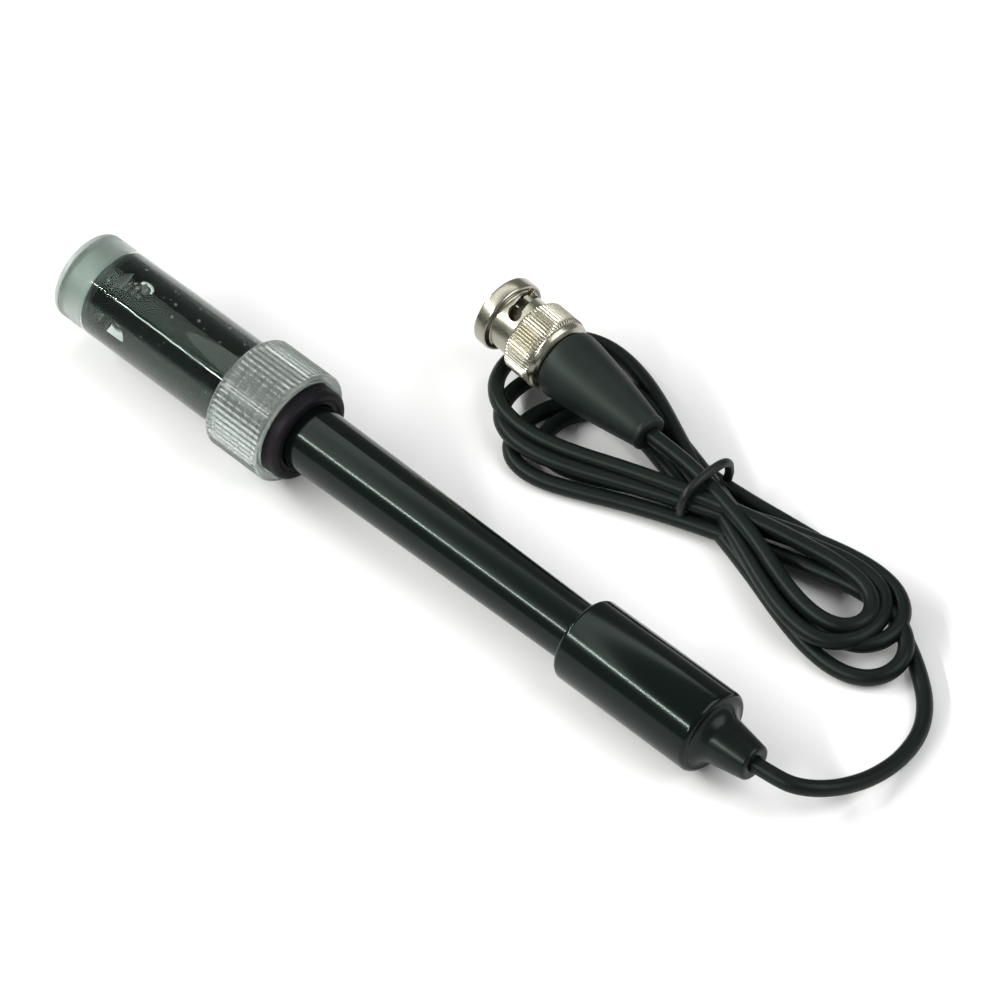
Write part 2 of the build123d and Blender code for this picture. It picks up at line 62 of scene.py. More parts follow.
aim = Vector((2.8, 19.6, 0.0)) * MM
lamp("overhead_softbox", (-0.45, 0.05, 0.83), aim, 1.8, 0.13, 2.2, (1.0, 1.0, 0.98))
lamp("strip_lamp", (-0.47, -0.62, 0.58), aim, 1.8, 0.018, 15.0, (1.0, 1.0, 0.98))
lamp("side_softbox", (0.60, 0.30, 0.75), aim, 0.8, 0.8, 6.5, (1.0, 1.0, 1.0))

world = bpy.data.worlds.new("studio")
bpy.context.scene.world = world
world.use_nodes = True
world.node_tree.nodes["Background"].inputs["Color"].default_value = (0.94, 0.97, 0.96, 1)
world.node_tree.nodes["Background"].inputs["Strength"].default_value = 0.27
bpy.context.scene.view_settings.view_transform = "Standard"

card_mesh = bpy.data.meshes.new("table")
half = 1.5
card_mesh.from_pydata(
    [(-half, -half, 0), (half, -half, 0), (half, half, 0), (-half, half, 0)], [], [(0, 1, 2, 3)]
)
table = bpy.data.objects.new("table", card_mesh)
bpy.context.collection.objects.link(table)
card = bpy.data.materials.new("card")
card.use_nodes = True
card.node_tree.nodes["Principled BSDF"].inputs["Base Color"].default_value = (0.93, 0.93, 0.93, 1)
card.node_tree.nodes["Principled BSDF"].inputs["Roughness"].default_value = 0.7
table.data.materials.append(card)

camera_turn, camera_rise, camera_reach = math.radians(43.9), math.radians(46.6), 1.2
camera = bpy.data.objects.new("camera", bpy.data.cameras.new("camera"))
bpy.context.collection.objects.link(camera)
sight = Vector((
    math.sin(camera_turn) * math.cos(camera_rise),
    -math.cos(camera_turn) * math.cos(camera_rise),
    math.sin(camera_rise),
))
camera.location = aim + sight * camera_reach
camera.rotation_euler = sight.to_track_quat("Z", "Y").to_euler()
sensor_width, view_width = 36, 176.6784 * MM
camera.data.sensor_width = sensor_width
camera.data.lens = sensor_width * camera_reach / view_width
bpy.context.scene.camera = camera


# ------------------------------------------------------------------ electrode stem
# The stem is one moulded tube of black polycarbonate, straight under the bottle and tapered
# from there to the cap, with four guard windows at its tip. It shows flow marks and fine scuffs.
class Shade:
    """A shader socket. Arithmetic on it adds Math nodes, and node() adds any other node."""

    def __init__(self, tree, socket=None):
        self.tree = tree
        self.socket = socket

    def node(self, kind, settings, inputs, output=0):
        made = self.tree.nodes.new(kind)
        for name, value in settings.items():
            setattr(made, name, value)
        self.into(made, inputs)
        return Shade(self.tree, made.outputs[output])

    def into(self, node, inputs):
        for name, value in inputs.items():
            if isinstance(value, Shade):
                self.tree.links.new(value.socket, node.inputs[name])
            else:
                node.inputs[name].default_value = value

    def math(self, operation, first, second):
        return self.node("ShaderNodeMath", {"operation": operation}, {0: first, 1: second})

    def __add__(self, other):
        return self.math("ADD", self, other)

    def __mul__(self, other):
        return self.math("MULTIPLY", self, other)

    __radd__ = __add__
    __rmul__ = __mul__


def new_finish(name, **constants):
    """A material with its constant sockets set. Gives it, its shader and the place on the piece."""
    material = bpy.data.materials.new(name)
    material.use_nodes = True
    tree = material.node_tree
    shader = tree.nodes["Principled BSDF"]
    for socket, value in constants.items():
        shader.inputs[socket.replace("_", " ")].default_value = value
    place = Shade(tree).node("ShaderNodeTexCoord", {}, {}, "Object")
    return material, shader, place


def grain(place, size, detail=3.0, rough=0.5):
    """Soft noise with features of about one size, in millimetres."""
    settings = {"noise_dimensions": "3D"}
    inputs = {"Vector": place, "Scale": 1 / (size * MM), "Detail": detail, "Roughness": rough}
    return place.node("ShaderNodeTexNoise", settings, inputs)


def stretched(place, x, y, z):
    """The same place with its axes scaled, for grain that runs one way."""
    return place.node("ShaderNodeVectorMath", {"operation": "MULTIPLY"}, {0: place, 1: (x, y, z)})


def between(place, factor, low, high):
    """A colour between two colours."""
    inputs = {0: factor, 6: (*low, 1), 7: (*high, 1)}
    return place.node("ShaderNodeMix", {"data_type": "RGBA"}, inputs, 2)


def bumped(place, height, depth):
    """A normal from a height, depth in millimetres."""
    inputs = {"Height": height, "Distance": depth * MM, "Strength": 1.0}
    return place.node("ShaderNodeBump", {}, inputs)


def paint(obj, material):
    obj.data.materials.clear()
    obj.data.materials.append(material)


sea_green = (0.82, 1.0, 0.92, 1)
black_plastic, shader, place = new_finish(
    "black_polycarbonate", Specular_IOR_Level=0.2, Specular_Tint=sea_green
)
flow = grain(stretched(place, 0.25, 1, 1), 6)
scuff = grain(stretched(place, 0.08, 1, 1), 0.35, 4)
place.into(shader, {
    "Base Color": between(place, flow, (0.0015, 0.003, 0.0025), (0.0045, 0.007, 0.006)),
    "Roughness": 0.10 + flow * 0.05 + scuff * 0.05,
    "Normal": bumped(place, flow, 0.002),
})
paint(frame["nodes"]["stem_tube"], black_plastic)

# ------------------------------------------------------------------ glass bulb and inner electrode
# Inside the stem a glass tube carries the sensing bulb and its silver wire; a resin collar, a
# ceramic wick, a rubber bung and a stopper close the chambers. All of it is seated in the stem.
blown_glass, shader, place = new_finish("blown_glass", Transmission_Weight=1.0, IOR=1.47)
ripple = grain(place, 2)
place.into(shader, {
    "Base Color": between(place, ripple, (0.90, 0.97, 0.95), (0.97, 1.0, 0.99)),
    "Roughness": 0.01 + ripple * 0.03,
    "Normal": bumped(place, ripple, 0.03),
})
for name in ("glass_bulb", "inner_glass_tube"):
    paint(frame["nodes"][name], blown_glass)


def plain_finish(name, low, high, size, roughness, depth, **constants):
    """A finish that only wanders between two close colours, with a fine grain."""
    material, shader, place = new_finish(name, **constants)
    cloud = grain(place, size)
    fine = grain(place, size / 6)
    place.into(shader, {
        "Base Color": between(place, cloud, low, high),
        "Roughness": roughness + cloud * 0.12,
        "Normal": bumped(place, fine, depth),
    })
    return material


inner_finishes = [
    (plain_finish("cast_resin", (0.02, 0.02, 0.022), (0.05, 0.05, 0.05), 1.5, 0.2, 0.02),
     ["tip_seal"]),
    (plain_finish("porous_ceramic", (0.78, 0.75, 0.68), (0.92, 0.90, 0.84), 0.3, 0.75, 0.04),
     ["reference_junction"]),
    (plain_finish("chlorided_silver", (0.32, 0.30, 0.29), (0.68, 0.66, 0.62), 1.2, 0.35, 0.02,
                  Metallic=1.0),
     ["measuring_wire", "reference_wire"]),
    (plain_finish("stopper_rubber", (0.012, 0.012, 0.012), (0.03, 0.03, 0.03), 2.0, 0.5, 0.02),
     ["chamber_bung", "glass_stopper"]),
    (plain_finish("tinned_copper", (0.60, 0.55, 0.50), (0.78, 0.76, 0.74), 0.8, 0.3, 0.03,
                  Metallic=1.0),
     ["core_joint", "shield_joint", "shield_lead", "cable_clamp", "crimp_ferrule"]),
    (plain_finish("polyethylene", (0.74, 0.72, 0.66), (0.86, 0.84, 0.78), 1.5, 0.4, 0.01),
     ["core_lead", "plug_core"]),
]
for material, names in inner_finishes:
    for name in names:
        paint(frame["nodes"][name], material)

# ------------------------------------------------------------------ handle cap
# A black moulded cap pressed over the stem's end, 16 mm across, with both ends rounded and a
# clear hole through its end wall for the nozzle.
nut_turn = next(j for j in frame["joints"] if j["name"] == "nut_turn")
probe_axis = Vector(nut_turn["axis"])
nut_station = 38.0
probe_tip = Vector(nut_turn["pos_m"]) - probe_axis * nut_station * MM
probe_side = Vector((0, 1, 0))
probe_up = probe_side.cross(probe_axis) * -1


def outline(*corners):
    """Stations and radii of a turned outline; a corner with a third number is rounded by it."""
    points = []
    count = len(corners)
    for index, corner in enumerate(corners):
        here = Vector(corner[:2])
        if len(corner) < 3:
            points.append(here)
            continue
        before = (Vector(corners[index - 1][:2]) - here).normalized()
        after = (Vector(corners[(index + 1) % count][:2]) - here).normalized()
        half_angle = before.angle(after) / 2
        inset = corner[2] / math.tan(half_angle)
        centre = here + (before + after).normalized() * corner[2] / math.sin(half_angle)
        first = here + before * inset - centre
        turn = first.angle_signed(here + after * inset - centre)
        for step in range(7):
            angle = -turn * step / 6
            points.append(centre + Vector((
                first.x * math.cos(angle) - first.y * math.sin(angle),
                first.x * math.sin(angle) + first.y * math.cos(angle),
            )))
    return points


def turned(name, start, axis, up, points, steps=144, relief=None):
    """A closed outline of (station, radius) in millimetres, turned about an axis. relief gives
    each point's radius from its station, its angle and its plain radius."""
    side = axis.cross(up)
    mesh = bmesh.new()
    rings = []
    for step in range(steps):
        angle = 2 * math.pi * step / steps
        outward = up * math.cos(angle) + side * math.sin(angle)
        ring = []
        for station, radius in points:
            if relief:
                radius = relief(station, angle, radius)
            ring.append(mesh.verts.new(start + axis * station * MM + outward * radius * MM))
        rings.append(ring)
    for ring, following in zip(rings, rings[1:] + rings[:1]):
        for index in range(len(points)):
            after = (index + 1) % len(points)
            mesh.faces.new((ring[index], ring[after], following[after], following[index]))
    bmesh.ops.remove_doubles(mesh, verts=mesh.verts, dist=1e-7)
    loose = [edge for edge in mesh.edges if not edge.link_faces]
    bmesh.ops.delete(mesh, geom=loose, context="EDGES")
    bmesh.ops.recalc_face_normals(mesh, faces=mesh.faces)
    made = bpy.data.meshes.new(name)
    mesh.to_mesh(made)
    mesh.free()
    made.shade_smooth()
    made.set_sharp_from_angle(angle=math.radians(32))
    obj = bpy.data.objects.new(name, made)
    bpy.context.collection.objects.link(obj)
    return obj


def dress(obj, body, slot, material, *nodes):
    """Gives a piece its finish and its body, and hides the CAD nodes it stands for. The slot is not
    used.
    """
    paint(obj, material)
    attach(obj, body)
    if nodes:
        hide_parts(*nodes)


cap_start, cap_end, stem_end = 115.0, 145.5, 127.0
cap_radius, cap_round, cap_socket, cap_chamber = 8.0, 1.0, 5.5, 5.2
cap_wall_start, nozzle_neck = 142.5, 3.1
cap_outline = outline(
    (cap_start, cap_radius, cap_round),
    (cap_end, cap_radius, cap_round),
    (cap_end, nozzle_neck),
    (cap_wall_start, nozzle_neck),
    (cap_wall_start, cap_chamber),
    (stem_end, cap_chamber),
    (stem_end, cap_socket),
    (cap_start, cap_socket, 0.3),
)
cap = turned("handle_cap_body", probe_tip, probe_axis, probe_up, cap_outline)
dress(cap, "electrode", "black_plastic", black_plastic, "handle_cap")

# ------------------------------------------------------------------ cable nozzle
# A flexible black strain relief pulled through the cap's end wall; it flares against the cap,
# tapers to the cable and ends in a soft rounded lip.
nozzle_end, cable_radius = 155.0, 1.5
flange_start, nozzle_flange = 140.5, 4.9
flare_length, flare_radius, root_radius, tip_radius = 2.8, 6.8, 4.45, 3.35
flare = []
for step in range(10):
    part = step / 9
    flare.append((
        cap_end + flare_length * (1 - math.cos(part * math.pi / 2)) ** 0.8 + 0.02,
        root_radius + (flare_radius - root_radius) * (1 - math.sin(part * math.pi / 2)),
    ))
nozzle_outline = outline(
    *flare,
    (nozzle_end, tip_radius, 0.7),
    (nozzle_end, cable_radius, 0.4),
    (flange_start, cable_radius),
    (flange_start, nozzle_flange),
    (cap_wall_start, nozzle_flange),
    (cap_wall_start, nozzle_neck),
    (cap_end, nozzle_neck),
)
nozzle = turned("nozzle", probe_tip, probe_axis, probe_up, nozzle_outline)
nozzle_rubber, shader, place = new_finish(
    "nozzle_rubber", Specular_IOR_Level=0.2, Specular_Tint=sea_green
)
cloud = grain(place, 3)
pebble = grain(place, 0.25)
place.into(shader, {
    "Base Color": between(place, cloud, (0.003, 0.0045, 0.004), (0.007, 0.010, 0.008)),
    "Roughness": 0.22 + cloud * 0.12,
    "Normal": bumped(place, pebble, 0.003),
})
dress(nozzle, "electrode", "black_rubber", nozzle_rubber, "cable_nozzle")

# ------------------------------------------------------------------ storage bottle
# A thick tube of clear acrylic, threaded at its mouth, with a milky clear plug pressed and
# solvent welded into its far end, where the tube is frosted too. It holds the storage solution,
# and bubbles cling to its wall and to the glass bulb.
clear_acrylic, shader, place = new_finish(
    "clear_acrylic", Transmission_Weight=1.0, IOR=1.49, Specular_Tint=(0.27, 0.33, 0.3, 1)
)
haze = grain(stretched(place, 0.3, 1, 1), 3)
along = place.node(
    "ShaderNodeVectorMath", {"operation": "DOT_PRODUCT"}, {0: place, 1: probe_axis}, 1
)
weld_edge = probe_tip.dot(probe_axis) - 1.0 * MM
weld = place.node("ShaderNodeMapRange", {}, {0: along, 1: weld_edge, 2: weld_edge - 0.5 * MM})
clear_tint = between(place, haze, (0.82, 0.88, 0.85), (0.90, 0.95, 0.92))
place.into(shader, {
    "Base Color": place.node(
        "ShaderNodeMix", {"data_type": "RGBA"}, {0: weld, 6: clear_tint, 7: (0.86, 0.92, 0.88, 1)}, 2
    ),
    "Roughness": 0.004 + haze * 0.006 + weld * 0.42,
})
bottle_bore, bottle_radius = 7.2, 8.6
tube_start, mouth, thread_start, thread_pitch = -6.5, 40.0, 34.0, 2.0
thread_root, thread_crest = 9.0, 9.45


def thread_ridge(station, angle, pitch, flat):
    """How far a right-hand thread stands out at a place, from 0 at its root to 1 at its crest."""
    phase = (station / pitch - angle / (2 * math.pi)) % 1
    return min(1, max(0, 2.2 * (1 - abs(2 * phase - 1)) - flat))


def bottle_relief(station, angle, radius):
    if radius < thread_root - 0.01 or station < thread_start + 0.4 or station > mouth - 0.4:
        return radius
    return radius + (thread_crest - thread_root) * thread_ridge(station, angle, thread_pitch, 0.7)


thread_steps = 48
neck = [
    (thread_start + 0.4 + (mouth - thread_start - 0.8) * step / thread_steps, thread_root)
    for step in range(thread_steps + 1)
]
bottle_outline = outline(
    (tube_start, bottle_radius, 0.25),
    (thread_start, bottle_radius),
    (thread_start + 0.3, thread_root),
    *neck,
    (mouth, thread_root, 0.2),
    (mouth, bottle_bore, 0.2),
    (tube_start, bottle_bore),
)
bottle = turned(
    "bottle_wall", probe_tip, probe_axis, probe_up, bottle_outline, 160, bottle_relief
)
dress(bottle, "bottle", "clear_plastic", clear_acrylic, "bottle_tube")

milky_acrylic, shader, place = new_finish("milky_acrylic", Transmission_Weight=0.2, IOR=1.45)
cloud = grain(place, 4)
place.into(shader, {
    "Base Color": between(place, cloud, (0.34, 0.40, 0.37), (0.43, 0.48, 0.455)),
    "Roughness": 0.28 + cloud * 0.10,
    "Normal": bumped(place, grain(place, 0.8), 0.02),
})
plug_outer, plug_inner, recess_start, recess_radius = -8.0, -1.0, -4.5, 5.2
end_plug_outline = outline(
    (plug_outer, 0),
    (plug_outer, bottle_radius, 1.0),
    (tube_start - 0.05, bottle_radius, 0.25),
    (tube_start - 0.05, bottle_bore - 0.02),
    (plug_inner, bottle_bore - 0.02, 0.3),
    (plug_inner, recess_radius, 0.3),
    (recess_start, recess_radius, 0.8),
    (recess_start, 0),
)
end_plug = turned("end_plug", probe_tip, probe_axis, probe_up, end_plug_outline)
dress(end_plug, "bottle", "frosted_plastic", milky_acrylic, "bottle_end_plug")

# The solution wets the wall, so its skin lies just inside the acrylic.
solution, shader, place = new_finish(
    "storage_solution", Transmission_Weight=1.0, IOR=1.34, Specular_Tint=(0.5, 0.55, 0.52, 1)
)
swirl = grain(place, 8)
place.into(shader, {
    "Base Color": between(place, swirl, (0.95, 0.985, 0.97), (0.99, 1.0, 1.0)),
    "Roughness": 0.002 + swirl * 0.004,
})
wet = 0.05
liquid_outline = outline(
    (recess_start - wet, 0),
    (recess_start - wet, recess_radius + wet),
    (plug_inner - wet, recess_radius + wet),
    (plug_inner - wet, bottle_bore + wet),
    (mouth - 0.6, bottle_bore + wet),
    (mouth - 0.6, 0),
)
liquid = turned("storage_liquid", probe_tip, probe_axis, probe_up, liquid_outline)
dress(liquid, "bottle", "clear_plastic", solution)

# Each bubble: its station, its angle round the bottle from the top, its distance from the
# axis, its radius and how long it is along the bottle.
bubble_skin, shader, place = new_finish(
    "bubble_skin", Transmission_Weight=0.85, IOR=1.6, Coat_Weight=1.0
)
# The bubbles' near white colour, partly diffuse, is a painted glint that keeps the small air bubbles
# bright.
painted_glint_grain = grain(place, 1.2)
place.into(shader, {
    "Base Color": between(place, painted_glint_grain, (0.80, 0.88, 0.84), (0.97, 1.0, 0.99)),
    "Roughness": 0.02 + painted_glint_grain * 0.04,
})
bubbles = [
    (3.9, -80, 6.3, 0.85, 1.0), (1.0, 24, 6.75, 0.30, 1.0), (2.6, 30, 6.75, 0.25, 1.0),
    (28.0, -88, 6.7, 0.48, 1.5), (7.8, 2, 6.35, 0.85, 1.0), (6.4, 8, 6.7, 0.40, 1.0),
    (5.4, 4, 6.7, 0.30, 1.0), (6.9, -3, 6.7, 0.28, 1.0), (4.6, 10, 6.7, 0.22, 1.0),
    (18.4, -85, 6.75, 0.25, 1.0),
]
drops = random.Random(11)
for _ in range(46):
    bubbles.append((
        drops.uniform(-0.5, 32.0), drops.uniform(-110, 75), 6.85,
        drops.choice((0.12, 0.16, 0.22, 0.30)), drops.uniform(0.9, 1.4),
    ))
bubble_mesh = bmesh.new()
for station, degrees, reach, radius, length in bubbles:
    turn = math.radians(degrees)
    outward = probe_up * math.cos(turn) - probe_side * math.sin(turn)
    across = probe_axis.cross(outward)
    ball = bmesh.ops.create_icosphere(bubble_mesh, subdivisions=3, radius=radius * MM)
    centre = probe_tip + probe_axis * station * MM + outward * reach * MM
    for vertex in ball["verts"]:
        x, y, z = vertex.co
        vertex.co = centre + probe_axis * x * length + across * y + outward * z
bubble_data = bpy.data.meshes.new("bubbles")
bubble_mesh.to_mesh(bubble_data)
bubble_mesh.free()
bubble_data.shade_smooth()
bubble_group = bpy.data.objects.new("bubbles", bubble_data)
bpy.context.collection.objects.link(bubble_group)
dress(bubble_group, "bottle", "clear_plastic", bubble_skin)

# ------------------------------------------------------------------ bottle nut
# A clear moulded nut with sixty grip ribs between two smooth rims; its inner thread shows
# through as faint rings. It clamps the seal ring against the bottle's mouth.
nut_start, nut_end, nut_radius, rib_depth, rib_count = 33.4, 46.0, 11.0, 0.45, 60
nut_bore, lip_start, lip_radius, near_rim, far_rim = 9.85, 43.8, 9.4, 0.4, 0.4
nut_ridge = 0.14


def nut_relief(station, angle, radius):
    if radius > nut_radius - 0.05:
        fade = min(station - nut_start - near_rim, nut_end - far_rim - station) / 0.4
        share = max(0.0, min(1.0, fade))
        rib = min(1.0, max(0.0, 0.5 + 1.3 * math.cos(angle * rib_count)))
        return radius - rib_depth * share * (1 - rib)
    if abs(radius - nut_bore) < 0.01 and nut_start + 1.2 < station < lip_start - 1.2:
        return radius - nut_ridge * thread_ridge(station + 1, angle, thread_pitch, 0.9)
    return radius


rib_steps = 24
rib_run = [
    (nut_start + near_rim + (nut_end - nut_start - near_rim - far_rim) * step / rib_steps, nut_radius)
    for step in range(rib_steps + 1)
]
bore_steps = 60
bore_run = [
    (lip_start - 0.6 - (lip_start - nut_start - 1.2) * step / bore_steps, nut_bore)
    for step in range(bore_steps + 1)
]
nut_outline = outline(
    (nut_start, nut_radius - 0.25, 0.4),
    *rib_run,
    (nut_end, nut_radius - 0.25, 0.3),
    (nut_end, lip_radius, 0.25),
    (lip_start, lip_radius),
    (lip_start, nut_bore),
    *bore_run,
    (nut_start, nut_bore, 0.3),
)
nut = turned("ribbed_nut", probe_tip, probe_axis, probe_up, nut_outline, rib_count * 8, nut_relief)
nut_acrylic, shader, place = new_finish("nut_acrylic", Transmission_Weight=0.92, IOR=1.49)
haze = grain(place, 2)
place.into(shader, {
    "Base Color": between(place, haze, (0.60, 0.67, 0.63), (0.76, 0.83, 0.79)),
    "Roughness": 0.20 + haze * 0.10,
    "Normal": bumped(place, grain(place, 0.6), 0.02),
})
dress(nut, "nut", "clear_plastic", nut_acrylic, "bottle_nut")

# ------------------------------------------------------------------ seal ring
# A soft black rubber ring that grips the stem; its flange sits under the nut and its neck
# stands proud with a rounded edge and a slightly dished face.
ring_start, ring_flange_end, ring_end = 40.0, 43.8, 48.7
ring_flange, ring_radius, ring_bore = 9.55, 9.1, 6.33
ring_outline = outline(
    (ring_start, ring_flange),
    (ring_flange_end, ring_flange, 0.2),
    (ring_flange_end, ring_radius),
    (ring_end, ring_radius, 0.9),
    (ring_end, ring_radius - 1.5, 0.4),
    (ring_end - 0.35, ring_radius - 1.9, 0.4),
    (ring_end - 0.35, ring_bore, 0.3),
    (ring_start, ring_bore),
)
ring = turned("seal", probe_tip, probe_axis, probe_up, ring_outline)
seal_rubber, shader, place = new_finish(
    "seal_rubber", Specular_IOR_Level=0.14, Specular_Tint=(1.0, 0.9, 1.0, 1)
)
bloom = grain(place, 2.5)
pores = grain(place, 0.15)
place.into(shader, {
    "Base Color": between(place, bloom, (0.003, 0.003, 0.0035), (0.008, 0.007, 0.0085)),
    "Roughness": 0.42 + bloom * 0.16,
    "Normal": bumped(place, pores, 0.015),
})
dress(ring, "seal", "black_rubber", seal_rubber, "seal_ring")

# ------------------------------------------------------------------ bayonet plug: metal
# A turned and nickel plated brass sleeve: flange, neck with two helical slots that end in round
# detents, knurled ring and smooth shoulder. Inside it: body, pin, insulator and gasket.
coupling_turn = next(j for j in frame["joints"] if j["name"] == "coupling_turn")
plug_front = Vector(coupling_turn["pos_m"])
plug_axis = Vector(coupling_turn["axis"])
plug_side = Vector((0, 0, 1)).cross(plug_axis).normalized()
plug_up = plug_axis.cross(plug_side)

nickel, shader, place = new_finish("nickel_plate", Metallic=1.0)
tarnish = grain(place, 2.5)
turning = grain(stretched(place, 1, 0.03, 0.03), 0.12, 2)
place.into(shader, {
    "Base Color": between(place, tarnish, (0.33, 0.315, 0.25), (0.47, 0.45, 0.375)),
    "Roughness": 0.20 + tarnish * 0.10,
    "Normal": bumped(place, turning, 0.006),
})
flange_end, flange_radius, neck_end, neck_radius = 3.0, 7.05, 8.2, 5.8
knurl_end, knurl_radius, knurl_count, knurl_depth = 14.2, 7.25, 72, 0.30
sleeve_end, shoulder_radius, mating_bore = 16.0, 6.3, 4.9
chamber_start, chamber_end, chamber_radius = 9.3, 14.0, 6.1


def knurl_relief(station, angle, radius):
    if radius < knurl_radius - 0.02 or station < neck_end + 0.2:
        return radius
    return radius - knurl_depth * (0.5 - 0.5 * math.cos(angle * knurl_count)) ** 1.5


knurl_steps = 6
knurl_run = [
    (neck_end + 0.35 + (knurl_end - neck_end - 0.7) * step / knurl_steps, knurl_radius)
    for step in range(knurl_steps + 1)
]
sleeve_outline = outline(
    (0, mating_bore, 0.25),
    (0, flange_radius, 0.5),
    (flange_end, flange_radius, 0.5),
    (flange_end, neck_radius, 0.35),
    (neck_end, neck_radius, 0.3),
    (neck_end, knurl_radius - 0.35),
    *knurl_run,
    (knurl_end + 0.1, knurl_radius - 0.4, 0.1),
    (knurl_end + 0.5, knurl_radius - 0.25, 0.3),
    (sleeve_end - 0.6, shoulder_radius + 0.35, 0.6),
    (sleeve_end, shoulder_radius - 0.4, 0.3),
    (sleeve_end, mating_bore),
    (chamber_end, mating_bore),
    (chamber_end, chamber_radius),
    (chamber_start, chamber_radius),
    (chamber_start, mating_bore),
)
sleeve = turned(
    "bayonet_sleeve", plug_front, plug_axis, plug_up, sleeve_outline, knurl_count * 6, knurl_relief
)

# The cutter: for each slot one closed strip swept along a helix, with a rounded start and a
# wider round detent at its end.
slot_run, slot_steps = 9.6, 64
slot_turn = math.radians(-57)
slot_station, slot_lead = 3.4, 0.27
slot_width, detent_width = 1.05, 1.45
cutter_mesh = bmesh.new()
for side in (0, math.pi):
    sections = []
    for step in range(slot_steps + 1):
        run = slot_run * step / slot_steps
        detent = math.sqrt(max(0, detent_width ** 2 - (run - slot_run + detent_width) ** 2))
        strip = math.sqrt(max(0, slot_width ** 2 - max(0, slot_width - run) ** 2))
        half = max(0.04, detent, strip if run < slot_run - detent_width else 0)
        angle = side + slot_turn + run / neck_radius
        outward = plug_up * math.cos(angle) + plug_axis.cross(plug_up) * math.sin(angle)
        middle = slot_station + slot_lead * run
        sections.append([
            cutter_mesh.verts.new(plug_front + (plug_axis * station + outward * radius) * MM)
            for station, radius in (
                (middle - half, 4.6), (middle + half, 4.6), (middle + half, 6.4), (middle - half, 6.4)
            )
        ])
    for near, far in zip(sections, sections[1:]):
        for index in range(4):
            after = (index + 1) % 4
            cutter_mesh.faces.new((near[index], near[after], far[after], far[index]))
    cutter_mesh.faces.new(sections[0])
    cutter_mesh.faces.new(sections[-1])
bmesh.ops.recalc_face_normals(cutter_mesh, faces=cutter_mesh.faces)
cutter_data = bpy.data.meshes.new("slot_cutter")
cutter_mesh.to_mesh(cutter_data)
cutter_mesh.free()
cutter = bpy.data.objects.new("slot_cutter", cutter_data)
bpy.context.collection.objects.link(cutter)
cut = sleeve.modifiers.new("slots", "BOOLEAN")
cut.operation = "DIFFERENCE"
cut.solver = "EXACT"
cut.object = cutter
bpy.context.view_layer.update()
solid = sleeve.evaluated_get(bpy.context.evaluated_depsgraph_get())
cut_mesh = bpy.data.meshes.new_from_object(solid)
sleeve.modifiers.clear()
sleeve.data = cut_mesh
bpy.data.objects.remove(cutter)
sleeve.data.shade_smooth()
sleeve.data.set_sharp_from_angle(angle=math.radians(32))
dress(sleeve, "coupling", "nickel_plate", nickel, "coupling_sleeve")

# The plug body's brass is painted far darker than brass: painted shade for its place deep inside the
# sleeve.
plug_finishes = [
    (plain_finish("brass_with_painted_shade", (0.07, 0.06, 0.04), (0.12, 0.105, 0.075), 1.5, 0.35, 0.01,
                  Metallic=1.0),
     ["plug_body"]),
    (plain_finish("spring_steel", (0.30, 0.29, 0.27), (0.46, 0.45, 0.43), 1.5, 0.28, 0.02,
                  Metallic=1.0),
     ["retaining_ring", "thrust_washer", "spring_washer"]),
    (plain_finish("gold_plate", (0.80, 0.55, 0.20), (0.92, 0.68, 0.30), 1.0, 0.16, 0.01,
                  Metallic=1.0),
     ["centre_pin"]),
    (plain_finish("fluoroplastic", (0.82, 0.82, 0.79), (0.92, 0.92, 0.90), 2.0, 0.38, 0.01),
     ["pin_insulator"]),
    (plain_finish("silicone", (0.42, 0.13, 0.07), (0.55, 0.19, 0.11), 1.5, 0.5, 0.01),
     ["face_gasket"]),
]
for material, names in plug_finishes:
    for name in names:
        paint(frame["nodes"][name], material)

# ------------------------------------------------------------------ bayonet plug: boot
# A tapered boot of satin black PVC slid over the crimp: a bulging lip behind the sleeve, a long
# cone, and a small collar where the cable comes out. Its surface is finely grained.
boot_start, boot_end, boot_lip, boot_neck = 16.3, 39.0, 6.65, 3.5
spigot_end, body_end, ferrule_radius, body_radius = 24.0, 17.6, 3.0, 4.8
boot_line = []
for step in range(15):
    part = step / 14
    boot_line.append((
        boot_start + 1.6 + (boot_end - boot_start - 3.0) * part,
        boot_lip + (boot_neck - boot_lip) * (0.22 * part + 0.78 * part ** 1.35),
    ))
boot_outline = outline(
    (boot_start, body_radius),
    (boot_start, boot_lip - 0.15, 0.8),
    *boot_line,
    (boot_end - 1.2, boot_neck - 0.08),
    (boot_end - 0.9, boot_neck + 0.02, 0.2),
    (boot_end, boot_neck - 0.05, 0.5),
    (boot_end, cable_radius, 0.2),
    (spigot_end, cable_radius),
    (spigot_end, ferrule_radius),
    (body_end, ferrule_radius),
    (body_end, body_radius),
)
boot = turned("boot", plug_front, plug_axis, plug_up, boot_outline)
boot_pvc, shader, place = new_finish(
    "boot_pvc", Specular_IOR_Level=0.3, Specular_Tint=sea_green
)
cloud = grain(place, 5)
sand = grain(place, 0.22, 4)
place.into(shader, {
    "Base Color": between(place, cloud, (0.005, 0.0075, 0.0065), (0.010, 0.014, 0.012)),
    "Roughness": 0.44 + cloud * 0.14,
    "Normal": bumped(place, sand, 0.03),
})
dress(boot, "electrode", "boot_rubber", boot_pvc, "plug_boot")

# ------------------------------------------------------------------ cable
# One soft 3 mm PVC cable, tied in a loose hank: from the electrode's nozzle it drops to the
# table, runs into the hank, makes four turns through the tie and comes back to the boot.
jacket, shader, place = new_finish(
    "cable_pvc", Specular_IOR_Level=0.16, Specular_Tint=sea_green
)
cloud = grain(place, 6)
handling = grain(place, 1.2)
skin = grain(place, 0.3)
place.into(shader, {
    "Base Color": between(place, cloud, (0.0025, 0.0045, 0.0035), (0.006, 0.009, 0.0075)),
    "Roughness": 0.34 + handling * 0.14,
    "Normal": bumped(place, skin, 0.02),
})
for name in ("cable_entry", "boot_cable"):
    paint(frame["nodes"][name], jacket)

